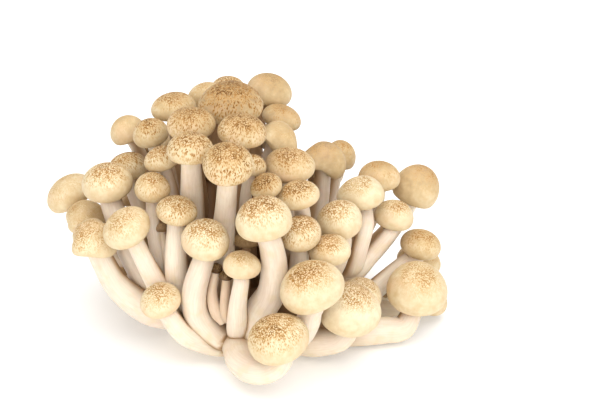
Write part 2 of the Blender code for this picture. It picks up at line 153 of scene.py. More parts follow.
# %% The helper that makes a mesh of rows


def row_faces(rows, columns, start, upward):
    """Squares between rows of a closed grid, and fans to the two end points that follow the grid's points.
    Rows that run upward are wound the other way round from rows that run down, so both face out."""
    at = start + np.arange(rows * columns).reshape(rows, columns)
    ahead = np.roll(at, -1, axis=1)
    squares = np.stack([at[:-1], at[1:], ahead[1:], ahead[:-1]], axis=-1).reshape(-1, 4)
    first, last = start + rows * columns, start + rows * columns + 1
    start_fan = np.stack([np.full(columns, first), at[0], ahead[0]], axis=-1)
    end_fan = np.stack([np.full(columns, last), ahead[-1], at[-1]], axis=-1)
    fans = np.concatenate([start_fan, end_fan])
    if upward:
        squares, fans = squares[:, ::-1], fans[:, ::-1]
    return squares, fans


def make_piece(name, grids, finish, upward, values):
    """One mesh object of several closed grids, each given as (rows of points, first end, last end). The values
    are (kind, one value for each point) by the name of their attribute."""
    points, squares, fans, start = [], [], [], 0
    for rows, first, last in grids:
        found = row_faces(rows.shape[0], rows.shape[1], start, upward)
        squares.append(found[0])
        fans.append(found[1])
        points += [rows.reshape(-1, 3), first[None], last[None]]
        start += rows.shape[0] * rows.shape[1] + 2
    points, squares, fans = (np.concatenate(part) for part in (points, squares, fans))
    mesh = bpy.data.meshes.new(name)
    mesh.vertices.add(len(points))
    mesh.vertices.foreach_set("co", points.astype(np.float32).reshape(-1))
    sides = np.concatenate([np.full(len(squares), 4), np.full(len(fans), 3)])
    mesh.loops.add(int(sides.sum()))
    order = np.concatenate([squares.reshape(-1), fans.reshape(-1)])
    mesh.loops.foreach_set("vertex_index", order.astype(np.int32))
    mesh.polygons.add(len(sides))
    mesh.polygons.foreach_set("loop_start", np.concatenate([[0], np.cumsum(sides)[:-1]]).astype(np.int32))
    mesh.update(calc_edges=True)
    mesh.validate()
    for label, (kind, data) in values.items():
        store = mesh.attributes.new(label, kind, "POINT")
        field = "vector" if kind == "FLOAT_VECTOR" else "value"
        store.data.foreach_set(field, data.astype(np.float32).reshape(-1))
    mesh.materials.append(finish)
    mesh.shade_smooth()
    piece = bpy.data.objects.new(name, mesh)
    bpy.context.scene.collection.objects.link(piece)
    return piece


# %% [markdown]
# ## Wiring a finish
# A finish is a tree of nodes, and one small helper keeps the trees readable: it adds a node, sets its plain
# values and joins its inputs. Patterns read Object coordinates, which are metres here, so a texture's scale is
# one over the size of its marks in metres.

# %% The helpers for node trees


def new_finish(name):
    """An empty material with its shader, and a function that adds a node to it."""
    material = bpy.data.materials.new(name)
    material.use_nodes = True
    tree = material.node_tree
    shader = tree.nodes["Principled BSDF"]

    def add(kind, inputs=None, **settings):
        node = tree.nodes.new("ShaderNode" + kind)
        for key, value in settings.items():
            setattr(node, key, value)
        for key, value in (inputs or {}).items():
            if isinstance(value, bpy.types.NodeSocket):
                tree.links.new(value, node.inputs[key])
            else:
                node.inputs[key].default_value = value
        return node

    return material, shader, add, tree.links.new


def ramp(add, source, stops):
    """A colour ramp over a value, given as (place, colour or grey) stops."""
    node = add("ValToRGB", {"Fac": source})
    elements = node.color_ramp.elements
    while len(elements) < len(stops):
        elements.new(0.5)
    for element, (place, colour) in zip(elements, stops):
        element.position = place
        element.color = (colour, colour, colour, 1) if isinstance(colour, float) else (*colour, 1)
    return node.outputs["Color"]


def blend(add, factor, a, b):
    """A mix of two colours by a factor, which may be sockets or plain values."""
    node = add("Mix", data_type="RGBA")
    for place, value in ((0, factor), (6, a), (7, b)):
        socket = node.inputs[place]
        if isinstance(value, bpy.types.NodeSocket):
            node.id_data.links.new(value, socket)
        else:
            socket.default_value = value if place == 0 else (*value, 1)
    return node.outputs[2]


def arithmetic(add, how, a, b=0.0, clamp=False):
    """One step of arithmetic on two values."""
    node = add("Math", operation=how, use_clamp=clamp)
    for place, value in ((0, a), (1, b)):
        if isinstance(value, bpy.types.NodeSocket):
            node.id_data.links.new(value, node.inputs[place])
        else:
            node.inputs[place].default_value = value
    return node.outputs[0]


# %% [markdown]
# ## The skin of a cap
# A beech mushroom's cap is buff tan, browner at the crown, and marked there with a fine net of dark brown lines.
# Down the sides the net breaks up into short strokes, and the rim is nearly plain. A picture could be wrapped
# round it, but marks worked out in space have no seam and differ from cap to cap. The net is where the cells of
# a Voronoi pattern meet, bent by noise and broken up by more of it. The strokes are the cells of a second one,
# read at places that are combed from the crown to the rim, so that they lie along the slope. A mark is dark
# brown where it is strong and orange tan at its edge, as the skin is where the brown thins out.

# %% Make the cap finish
CAP_PALE = (0.79, 0.695, 0.49)
CAP_TAN = (0.61, 0.462, 0.262)
CAP_CROWN = (0.34, 0.215, 0.098)
# darkest brown: the skin's own on the brownest crowns, and painted shade on the young caps that sit in the gaps
CAP_DARK_BROWN_AND_SHADE = (0.075, 0.036, 0.010)
CAP_PINK = (0.78, 0.52, 0.335)
MARK_EDGE = (0.55, 0.37, 0.17)
MARK_BROWN = (0.37, 0.185, 0.05)
MARK_DARK = (0.14, 0.06, 0.013)
GILL_CREAM = (0.70, 0.58, 0.42)
NET_SCALE, STROKE_SCALE, BREAK_SCALE = 1550.0, 2450.0, 1700.0
BEND_SCALE, BEND_REACH = 800.0, 0.9 * MM
PATCH_SCALE, MOTTLE_SCALE, FLUSH_SCALE, GRAIN_SCALE = 230.0, 420.0, 95.0, 2600.0


def make_cap_finish():
    """Pale to brown skin by how far a point is from the crown, and over it the net, the strokes and a faint pink
    flush. Each cap's own values say how strong the marks are, how far down they reach and how brown it is."""
    material, shader, add, join = new_finish("cap skin")
    place = add("TexCoord").outputs["Object"]
    grown, combed = (add("Attribute", attribute_name=name).outputs["Vector"] for name in ("grown", "combed"))
    from_crown, tone, brown, spread = (add("Attribute", attribute_name=name).outputs["Fac"]
                                       for name in ("from_crown", "tone", "brown", "spread"))

    bend = add("TexNoise", {"Vector": grown, "Scale": BEND_SCALE, "Detail": 2.0}).outputs["Color"]
    bend = add("VectorMath", {0: bend, 1: (0.5, 0.5, 0.5)}, operation="SUBTRACT").outputs[0]
    bend = add("VectorMath", {0: bend, "Scale": BEND_REACH}, operation="SCALE").outputs[0]
    bent = add("VectorMath", {0: grown, 1: bend}, operation="ADD").outputs[0]
    cells = add("TexVoronoi", {"Vector": bent, "Scale": NET_SCALE}, feature="DISTANCE_TO_EDGE")
    net = ramp(add, cells.outputs["Distance"], ((0.0, 1.0), (0.10, 0.85), (0.30, 0.0)))
    breaks = add("TexNoise", {"Vector": grown, "Scale": BREAK_SCALE, "Detail": 1.0}).outputs["Fac"]
    net = arithmetic(add, "MULTIPLY", net, ramp(add, breaks, ((0.38, 0.30), (0.50, 1.0))))
    wavy = add("VectorMath", {0: combed, 1: bend}, operation="ADD").outputs[0]
    strokes = add("TexVoronoi", {"Vector": wavy, "Scale": STROKE_SCALE}).outputs["Distance"]
    strokes = ramp(add, strokes, ((0.25, 1.0), (0.60, 0.0)))
    marks = blend(add, ramp(add, from_crown, ((0.34, 0.0), (0.62, 1.0))), net, strokes)
    patches = add("TexNoise", {"Vector": place, "Scale": PATCH_SCALE, "Detail": 2.0}).outputs["Fac"]
    marks = arithmetic(add, "MULTIPLY", marks, ramp(add, patches, ((0.35, 0.55), (0.58, 1.0))))
    reach = arithmetic(add, "DIVIDE", from_crown, spread, clamp=True)
    reach = ramp(add, reach, ((0.0, 1.0), (0.40, 0.88), (0.64, 0.62), (0.85, 0.28), (1.0, 0.04)))
    marks = arithmetic(add, "MULTIPLY", marks, reach)
    marks = arithmetic(add, "MULTIPLY", marks, tone, clamp=True)

    mottle = add("TexNoise", {"Vector": place, "Scale": MOTTLE_SCALE, "Detail": 4.0}).outputs["Fac"]
    # browner at the crown, which is the skin's own colour, and a little browner again at the rim, which is painted
    # shade where the rim rolls under
    browned = ramp(add, from_crown, ((0.0, 0.44), (0.35, 0.33), (0.65, 0.31), (1.0, 0.36)))
    browned = arithmetic(add, "ADD", browned, arithmetic(add, "MULTIPLY", mottle, 0.7))
    browned = arithmetic(add, "ADD", arithmetic(add, "SUBTRACT", browned, 0.35), brown)
    browned = arithmetic(add, "MULTIPLY", browned, 0.5, clamp=True)
    skin = ramp(add, browned, ((0.0, CAP_PALE), (0.25, CAP_TAN), (0.5, CAP_CROWN), (1.0, CAP_DARK_BROWN_AND_SHADE)))
    flush = add("TexNoise", {"Vector": place, "Scale": FLUSH_SCALE, "Detail": 2.0}).outputs["Fac"]
    skin = blend(add, ramp(add, flush, ((0.50, 0.0), (0.70, 0.35))), skin, CAP_PINK)
    lines = ramp(add, marks, ((0.0, MARK_EDGE), (0.25, MARK_EDGE), (0.55, MARK_BROWN), (1.0, MARK_DARK)))
    skin = blend(add, ramp(add, marks, ((0.0, 0.0), (0.35, 1.0))), skin, lines)
    under = ramp(add, arithmetic(add, "SUBTRACT", from_crown, 0.6), ((0.50, 0.0), (0.62, 1.0)))
    join(blend(add, under, skin, GILL_CREAM), shader.inputs["Base Color"])

    grain = add("TexNoise", {"Vector": grown, "Scale": GRAIN_SCALE, "Detail": 3.0}).outputs["Fac"]
    sunk = arithmetic(add, "MULTIPLY", marks, -0.9)
    relief = arithmetic(add, "ADD", arithmetic(add, "MULTIPLY", grain, 0.5), sunk)
    bump = add("Bump", {"Height": relief, "Strength": 0.5, "Distance": 0.15 * MM}).outputs["Normal"]
    join(bump, shader.inputs["Normal"])
    join(ramp(add, grain, ((0.3, 0.46), (0.7, 0.60))), shader.inputs["Roughness"])
    shader.inputs["Subsurface Weight"].default_value = 0.08
    shader.inputs["Subsurface Radius"].default_value = (1.0, 0.55, 0.3)
    shader.inputs["Subsurface Scale"].default_value = 1.2 * MM
    shader.inputs["Specular IOR Level"].default_value = 0.2
    return material


CAP_SKIN = make_cap_finish()
print("finish", CAP_SKIN.name, "with", len(CAP_SKIN.node_tree.nodes), "nodes")

# %% [markdown]
# ## The shape of a cap
# A young cap is a dome whose edge rolls in under it. Below hang the gills, thin blades that run from the rim to
# the stem. It could be modelled by hand and copied, but no two are alike. So a profile is written down once, from
# the crown over the dome, round the rolled edge, up among the gills and in to the seat, and turned about each
# cap's own axis with its own outline and swellings.

# %% The profile from crown to seat
CAP_COLUMNS = 120
GILLS = 40
DOME_ROWS, ROLL_ROWS, LIP_ROWS, GILL_ROWS = 26, 11, 5, 9
SEAT_SHARE = 0.43
SKIN_PRESS, BUNDLE_SHARE = 0.42, 0.8
SWELLING = 0.010


def cap_profile():
    """Rows of (share of radius, share of height, depth of the gills, distance from the crown).
    The dome's radius is a sine and its height a cosine to a power just over 1. The roll is a quarter of an
    ellipse. The lip curls in and up. Over the gills the height falls between blades by a half sine wave."""
    quarter = math.pi / 2
    u = np.linspace(0.07, quarter, DOME_ROWS)
    dome = np.stack([np.sin(u) ** 0.95, RIM_HEIGHT + (1 - RIM_HEIGHT) * np.cos(u) ** 1.10, 0 * u, u / quarter])
    v = np.linspace(0, quarter, ROLL_ROWS + 1)[1:]
    roll = np.stack([0.79 + 0.21 * np.cos(v) ** 0.9, RIM_HEIGHT - 0.37 * np.sin(v), 0 * v, 1 + 0.1 * v / quarter])
    w = np.linspace(0, 1, LIP_ROWS + 1)[1:]
    lip = np.stack([0.79 - 0.075 * np.sin(w * 1.8), -0.17 + 0.045 * (1 - np.cos(w * 2.4)), 0 * w, 1.1 + 0.1 * w])
    t = np.linspace(0, 1, GILL_ROWS + 1)[1:]
    gills = np.stack([lip[0, -1] + (SEAT_SHARE - lip[0, -1]) * t, lip[1, -1] + 0.07 * t,
                      0.17 * np.sin(math.pi * t) ** 0.7, 1.3 + 0.3 * t])
    return np.concatenate([dome, roll, lip, gills], axis=1)


PROFILE = cap_profile()
print("profile rows", PROFILE.shape[1])

# %% Turn the profile into each cap


def swellings(directions, chance, size):
    """A soft unevenness: the sum of six sine waves, each along a random direction."""
    ways = unit(chance.normal(size=(6, 3)))
    phases = chance.uniform(0, 2 * math.pi, 6)
    pitch = chance.uniform(1.6, 3.6, 6)
    return size * np.sin(directions @ ways.T * pitch + phases).sum(axis=-1) / math.sqrt(6)


def cap_grid(seat, axis, height, radius, waves, chance, columns=CAP_COLUMNS, gills=GILLS):
    """The fine cap: the profile turned about the axis. Its radius is multiplied by the outline, 1 plus its
    waves, and everything outside is swollen by a few soft waves. Gills lift the underside between blades.
    With it come three values for each point: how far it is from the crown, its place in the cap with the
    height pressed together (grown), and its place on the skin laid out round a bundle (combed)."""
    share, level, depth, from_crown = PROFILE[:, :, None]
    angles = np.arange(columns) * 2 * math.pi / columns
    outline = 1 + sum(a * np.cos(n * angles) + b * np.sin(n * angles) for n, a, b in waves)
    fold = max(0.0, sum(math.hypot(a, b) for _, a, b in waves) - 0.08)
    blades = 0.5 - 0.5 * np.cos(gills * angles)
    side, other = frame_round(axis)
    round_it = np.cos(angles)[:, None] * side + np.sin(angles)[:, None] * other
    towards_rim = np.clip(from_crown, 0, 1.2) ** 3
    droop = 1.4 * fold * towards_rim * np.cos(2 * angles + 1.0)
    grow = 1 + swellings(round_it[None] * share[..., None] + axis * level[..., None], chance, SWELLING)
    out = share * radius * (1 + (outline - 1) * np.clip(from_crown * 1.5, 0, 1)) * grow
    lift = (level + depth * blades + droop) * height * np.where(level > 0, grow, 1)
    rows = seat + round_it[None] * out[..., None] + axis * lift[..., None]
    crown = seat + axis * height * grow[0].mean()
    ends = np.stack([crown, seat + axis * 0.12 * height])
    away = np.concatenate([rows.reshape(-1, 3), ends]) - seat
    grown = np.stack([away @ side, away @ other, away @ axis * SKIN_PRESS], axis=-1) + chance.uniform(0, 1, 3)
    steps = np.diff(rows, axis=0, prepend=crown[None, None].repeat(columns, 1))
    walked = np.linalg.norm(steps, axis=-1).cumsum(axis=0)
    combed = np.zeros(rows.shape)
    bundle = BUNDLE_SHARE * radius
    combed[..., 0], combed[..., 1] = bundle * np.cos(angles), bundle * np.sin(angles)
    combed[..., 2] = SKIN_PRESS * walked
    combed = np.concatenate([combed.reshape(-1, 3), np.zeros((2, 3))]) + chance.uniform(0, 1, 3)
    reach = np.concatenate([np.repeat(from_crown, columns, axis=1).reshape(-1), [0.0, 1.6]])
    return (rows, *ends), reach, grown, combed


# %% [markdown]
# ## What differs from cap to cap
# In one clump some caps are brown and marked nearly to the rim, the young ones only at the crown, and a few are
# plain. Each could have a finish of its own, but one finish serves them all if it reads a few values from each
# cap: how strong its marks are, how far down they reach, and how brown its crown is. The caps that the eye sees
# have theirs in tables by number, and the rest draw them at random. On the side where its neighbours hide a cap
# from the light, painted shade makes it a little browner.

# %% How much of the light is hidden


def hidden_share(points, ways, balls, sizes):
    """How much of the light that a point faces is hidden by balls: for each, (its radius over its distance)
    squared times the cosine of its direction with the way that the surface faces. Balls that overlap count
    twice, so the sum can pass 1."""
    points, ways, balls, sizes = (np.asarray(one, np.float32) for one in (points, ways, balls, sizes))
    hidden = np.empty(len(points), np.float32)
    for start in range(0, len(points), 20000):
        some = slice(start, start + 20000)
        far = np.maximum(((points[some, None] - balls) ** 2).sum(axis=-1), sizes**2)
        ahead = ways[some] @ balls.T - np.sum(ways[some] * points[some], axis=-1, keepdims=True)
        hidden[some] = (np.clip(ahead, 0, None) * sizes**2 / far**1.5).sum(axis=1)
    return hidden


def smooth_step(values, low, high):
    """0 below low, 1 above high, and an S between."""
    t = np.clip((values - low) / (high - low), 0, 1)
    return t * t * (3 - 2 * t)


# %% Say how strong the marks are, how far they reach, how brown the crown is and how coarse the marks are
TONES = {
    1: 1.05, 2: 1.05, 3: 0.7, 4: 0.95, 5: 0.8, 6: 0.55, 7: 0.65, 8: 0.6, 9: 0.65, 10: 0.5, 11: 0.4, 12: 0.85,
    14: 0.75, 15: 0.8, 16: 1.0, 17: 1.15, 18: 0.95, 19: 1.1, 20: 0.3, 22: 0.95, 23: 0.45, 24: 1.2, 26: 0.5,
    27: 0.6, 28: 0.4, 29: 1.1, 30: 1.1, 31: 0.95, 32: 1.3, 33: 1.1, 34: 0.85, 35: 0.5, 36: 0.6, 37: 0.7, 38: 0.6,
    39: 0.6, 40: 0.7, 41: 0.75, 43: 0.7, 44: 0.7, 45: 0.6, 46: 0.5, 47: 0.6,
}
SPREADS = {
    1: 0.95, 2: 0.68, 3: 0.65, 6: 0.7, 8: 0.9, 15: 1.2, 16: 1.3, 17: 1.35, 22: 1.2, 24: 1.25, 29: 1.2, 37: 0.65,
    40: 0.7, 41: 0.75, 42: 0.75, 45: 0.7,
}
BROWNS = {
    1: -0.15, 2: -0.1, 3: -0.4, 4: -0.25, 5: -0.35, 7: -0.25, 8: -0.1, 9: -0.1, 10: 0.1, 11: 0.0, 12: -0.2,
    13: -0.05, 14: 0.0, 15: -0.1, 16: 0.0, 17: 0.2, 18: 0.0, 19: 0.15, 20: 0.2, 21: 0.2, 22: 0.3, 23: 0.1, 24: 0.85,
    26: 0.5, 27: 0.45, 28: 0.2, 29: 0.25, 30: -0.05, 31: 0.15, 32: 0.35, 33: 0.0, 34: -0.2, 35: 0.6, 36: 0.35,
    37: -0.2, 38: 0.35, 39: 0.5, 40: -0.15, 41: -0.3, 42: -0.1, 43: 0.2, 44: 0.3, 47: -0.4,
}
COARSE = {23: 0.85, 24: 0.75}
print("caps with values of their own", len(set(TONES) | set(SPREADS) | set(BROWNS)))

# %% Make every cap
MIDDLES = SEATS + AXES * 0.4 * HEIGHTS[:, None]
CAP_SHADE_SHARE = 0.14


def make_cap(name, parts, tone, brown, spread):
    """One cap's piece, with the values that its skin reads. How brown it is fades from one and a half times
    the given value at the crown to a tenth of it at the rim, and painted shade adds to it where neighbours hide the
    light."""
    grid, reach, grown, combed = parts
    points = np.concatenate([grid[0].reshape(-1, 3), grid[1][None], grid[2][None]])
    ways = unit(points - points.mean(axis=0))
    # painted shade: how much of the light the other caps hide, added to the brown below
    cap_shade = smooth_step(hidden_share(points, ways, MIDDLES, RADII), 0.3, 1.3)
    brown = brown * (1.5 - 1.4 * np.clip(reach, 0, 1)) + CAP_SHADE_SHARE * cap_shade
    return make_piece(name, [grid], CAP_SKIN, False, {
        "from_crown": ("FLOAT", reach), "grown": ("FLOAT_VECTOR", grown), "combed": ("FLOAT_VECTOR", combed),
        "tone": ("FLOAT", np.full(len(reach), tone)), "brown": ("FLOAT", brown),
        "spread": ("FLOAT", np.full(len(reach), spread))})


for number, name in enumerate(CAP_NAMES, start=1):
    chance = np.random.default_rng(100 + number)
    parts = cap_grid(*CAPS[number - 1], chance)
    parts[2][:] *= COARSE.get(number, 1.0)
    parts[3][:] *= COARSE.get(number, 1.0)
    tone = TONES.get(number, chance.uniform(0.7, 0.95))
    brown = BROWNS.get(number, chance.uniform(-0.1, 0.1))
    piece = make_cap(name + "_skin", parts, tone, brown, SPREADS.get(number, chance.uniform(0.8, 1.1)))
    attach(piece, "root")
    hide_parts(name)
print("fine caps", len(CAP_NAMES), "of", len(piece.data.polygons), "faces each")

# %% [markdown]
# ## The lines of the stems
# A stem starts in the butt, splays outwards, and comes up under its cap along the cap's own axis. Those that the
# eye sees have courses of their own, as points across, up and behind as they look from the eye. The rest follow
# a rule: a Bezier curve that leaves the butt leaning further out than its cap and then straightens up. Both are
# then bent out of the way of every other cap, because flesh can't grow through flesh.

# %% Values of the stems
GAP = 0.35 * MM
CAP_MIDDLE = 0.42
CAP_HALF_HEIGHT = (1 + 0.17) / 2
STEM_TOP, STEM_SWELL, FOOT_SHARE = 0.36, 0.26, 0.2
STEM_GIRTHS = {
    1: 0.92, 2: 0.9, 3: 0.84, 4: 1.06, 5: 1.18, 6: 1.06, 7: 1.28, 9: 1.2, 12: 1.1, 14: 1.0, 15: 1.18, 16: 1.1,
    17: 1.0, 37: 0.76, 45: 0.86,
}
ROOT_REACH, ROOT_SPREAD = 21.0 * MM, 27.0 * MM
ROOT_HEIGHT, ROOT_RISE = 5.0 * MM, 5.0 * MM
SPLAY = 1.35
ROOT_PULL, SEAT_PULL = 0.36, 0.34
FLOOR_CLEAR = 0.6 * MM
LINE_POINTS = 17
STEM_COURSES = {
    1: ((-6, -6, -20), (-6, -8.7, -31), (-5, -13.4, -42), (-1, -16.7, -49), (4.3, -17, -51), (8, -14.6, -52)),
    2: ((8, -6, -22), (14, -5, -36), (17.5, -1, -45), (18.5, 3, -50)),
    3: ((10, -6, -18), (17.7, -7.7, -26), (22.3, -7.7, -29), (27.7, -6.8, -31), (30.3, -4, -32)),
    4: ((-2, -4, -22), (-1.7, -3, -33), (2, 4, -38), (5, 9.3, -43), (5.7, 17.3, -47), (4.7, 26, -52)),
    5: ((-6, -5, -18), (-11, -6, -27), (-15.3, -3, -31), (-19, 1.3, -34), (-20.3, 6, -37), (-19.7, 12, -41)),
    6: ((-4, -5, -24), (-5.7, -3, -36), (-5.7, 4.7, -43), (-4.5, 13, -48)),
    7: ((-6, -6, -16), (-11, -8.3, -26), (-16.7, -7.7, -29), (-23.7, -5, -34), (-28.5, 1, -37)),
    8: ((-14, -2, -17), (-24, 0, -27), (-29, 6, -30), (-33.3, 13, -33), (-36.7, 19.3, -35)),
    9: ((-18, 1, -14), (-32.3, 2.7, -23), (-38.3, 5.3, -24), (-43.7, 9.3, -25), (-47.7, 14, -25)),
    12: ((-15, 3, -12), (-32, 9, -20), (-40, 20, -21), (-45.7, 33, -22)),
    14: ((-12, 0, -13), (-22, 3, -21), (-28, 12.3, -25), (-31.4, 20.7, -27), (-33.6, 30, -29)),
    15: ((-13, -2, -17), (-22.5, 2, -27), (-25.3, 11, -31), (-26.3, 20.7, -35)),
    16: ((-10, 2, -10), (-17, 12, -16), (-20.5, 26, -24), (-21.3, 36, -28), (-21.5, 46, -35)),
    17: ((-5, 0, -18), (-8.5, 6, -24), (-10.6, 16, -30), (-10.5, 28, -35), (-9.6, 38, -41), (-9.1, 45, -49)),
    37: ((13, 2, -9), (24, 8, -9.5), (30, 14, -11), (33.1, 18.3, -14), (35, 24.6, -16.5), (37, 32, -18)),
    40: ((15, 2, -9), (27, 9, -12), (34.4, 15.2, -13), (38, 19.6, -12.5), (41.9, 24.6, -12), (45.6, 29.6, -12)),
    43: ((16, 1, -8), (32, 4, -11), (40, 10.3, -9), (50, 19, -5)),
    45: ((20, -4, -16), (33.3, -4, -20), (38.7, -3.7, -19), (44.3, -3.3, -18), (49.7, -2.3, -17)),
}
print("stems with a course", len(STEM_COURSES))

# %% Work out the lines


def on_sight_line(across, up, behind):
    """The point that the eye sees at (across, up) mm, behind mm past the butt's middle."""
    nearer = 1 + behind * MM / EYE_DISTANCE
    centre = VIEW_CENTRE[0] * MM * ACROSS + VIEW_CENTRE[1] * MM * ABOVE
    offset = (across - VIEW_CENTRE[0]) * MM * ACROSS + (up - VIEW_CENTRE[1]) * MM * ABOVE
    return centre + behind * MM * INTO + offset * nearer


def spaced(line, count):
    """The line with this many points, evenly spaced along it."""
    walked = np.concatenate([[0.0], np.cumsum(np.linalg.norm(np.diff(line, axis=0), axis=1))])
    wanted = np.linspace(0, walked[-1], count)
    return np.stack([np.interp(wanted, walked, line[:, k]) for k in range(3)], axis=1)


def line_through(points, count):
    """An even line on the curve through the points: between two of them a cubic, whose direction at each is
    that from the point before it to the point after it."""
    points = np.array(points)
    ends = np.concatenate([2 * points[:1] - points[1:2], points, 2 * points[-1:] - points[-2:-1]])
    t = np.linspace(0, 1, 9)[:-1, None]
    a, b, c, d = (ends[k : len(ends) - 3 + k, None] for k in range(4))
    curve = 0.5 * (2 * b + (c - a) * t + (2 * a - 5 * b + 4 * c - d) * t**2 + (3 * b - a - 3 * c + d) * t**3)
    return spaced(np.concatenate([curve.reshape(-1, 3), points[-1:]]), count)


def splayed_line(seat, axis):
    """A cubic Bezier from the butt to the seat that leaves splayed outwards and arrives along the axis."""
    reach = math.hypot(seat[0], seat[1])
    out = ROOT_REACH * math.tanh(reach / ROOT_SPREAD)
    rise = ROOT_HEIGHT + ROOT_RISE * (1 - out / ROOT_REACH)
    root = np.array([out * seat[0] / reach, out * seat[1] / reach, rise])
    span = seat - root
    length = np.linalg.norm(span)
    tilt = min(SPLAY * math.atan2(math.hypot(span[0], span[1]), span[2]), math.radians(92))
    outward = unit(np.array([root[0], root[1], 0.0]) + 0.5 * np.array([span[0], span[1], 0.0]))
    leave = root + (outward * math.sin(tilt) + UP * math.cos(tilt)) * ROOT_PULL * length
    arrive = seat - axis * SEAT_PULL * length
    t = np.linspace(0, 1, LINE_POINTS)[:, None]
    return (1 - t) ** 3 * root + 3 * (1 - t) ** 2 * t * leave + 3 * (1 - t) * t**2 * arrive + t**3 * seat


def stem_line(number, seat, axis, radius):
    """The middle line of one cap's stem, by its course where it has one."""
    if number not in STEM_COURSES:
        return spaced(splayed_line(seat, axis), LINE_POINTS)
    course = [on_sight_line(*point) for point in STEM_COURSES[number]]
    return line_through(course + [seat - axis * 0.35 * radius, seat], LINE_POINTS)


def stem_radii(number, cap_radius, count):
    """Radius along a stem: the cap's times (a top share plus a swell that grows to the foot, then fades)."""
    t = np.linspace(0, 1, count)
    foot = np.clip(t / FOOT_SHARE, 0, 1)
    share = STEM_TOP + STEM_SWELL * (1 - t) * foot * foot * (3 - 2 * foot)
    return cap_radius * share * STEM_GIRTHS.get(number, 1)


def bend_clear(lines, widths, middles):
    """Bends the lines out of every cap but their own, taken as flattened balls, and off the floor."""
    held = np.minimum(3 * np.sin(np.linspace(0, math.pi, LINE_POINTS)), 1)[:, None]
    offset = np.zeros_like(lines)
    for _ in range(200):
        now = lines + offset
        moved = np.zeros_like(lines)
        for j in range(len(middles)):
            away = now - middles[j]
            along = away @ AXES[j]
            flat = away - along[..., None] * AXES[j]
            wide = RADII[j] * 1.04 + widths + GAP
            high = HEIGHTS[j] * CAP_HALF_HEIGHT + widths + GAP
            depth = np.sqrt((np.linalg.norm(flat, axis=-1) / wide) ** 2 + (along / high) ** 2)
            pressed = depth < 1
            pressed[j] = False
            way = flat / (wide**2)[..., None] + (along / high**2)[..., None] * AXES[j]
            way = way / np.maximum(np.linalg.norm(way, axis=-1, keepdims=True), 1e-9)
            moved += np.where(pressed[..., None], way * ((1 - depth) * wide)[..., None] * 0.5, 0)
        moved[..., 2] += np.maximum(widths + FLOOR_CLEAR - now[..., 2] - moved[..., 2], 0)
        offset += moved * held
        offset[:, 1:-1] = 0.7 * offset[:, 1:-1] + 0.15 * (offset[:, :-2] + offset[:, 2:])
    return lines + offset


NUMBERS = range(1, len(CAPS) + 1)
ENDS = SEATS - AXES * 1.3 * GAP
LINES = np.array([stem_line(*stem) for stem in zip(NUMBERS, ENDS, AXES, RADII)])
WIDTHS = np.array([stem_radii(number, radius, LINE_POINTS) for number, radius in zip(NUMBERS, RADII)])
LINES = bend_clear(LINES, WIDTHS, SEATS + AXES * (CAP_MIDDLE * HEIGHTS)[:, None])
longest = np.linalg.norm(np.diff(LINES, axis=1), axis=2).sum(axis=1).max()
print("stem lines", LINES.shape, "longest in mm", round(longest / MM))

# %% [markdown]
# ## The flesh of the stems
# The stems are cream, faintly pink, and made of fibres that run lengthwise, so a pattern that follows the stem is
# needed. Each point gets a place in a bundle of fibres: round the stem as it is, but squeezed along it. Noise read
# at that place comes out as long streaks with no seam. Deep in the clump, painted shade turns the flesh warm brown.

# %% Make the stem finish
STEM_CREAM = (0.80, 0.705, 0.57)
STEM_PINK = (0.76, 0.59, 0.49)
STEM_FIBRE = (0.60, 0.46, 0.35)
# painted shade between the stems: warm brown, and near black-brown where it is deepest and in the creases
STEM_SHADE_BROWN = (0.50, 0.325, 0.18)
STEM_DEEP_SHADE = (0.16, 0.073, 0.02)
BUTT_YELLOW = (0.72, 0.60, 0.38)
STREAK_SCALE, TINT_SCALE, STAIN_SCALE = 2100.0, 130.0, 260.0


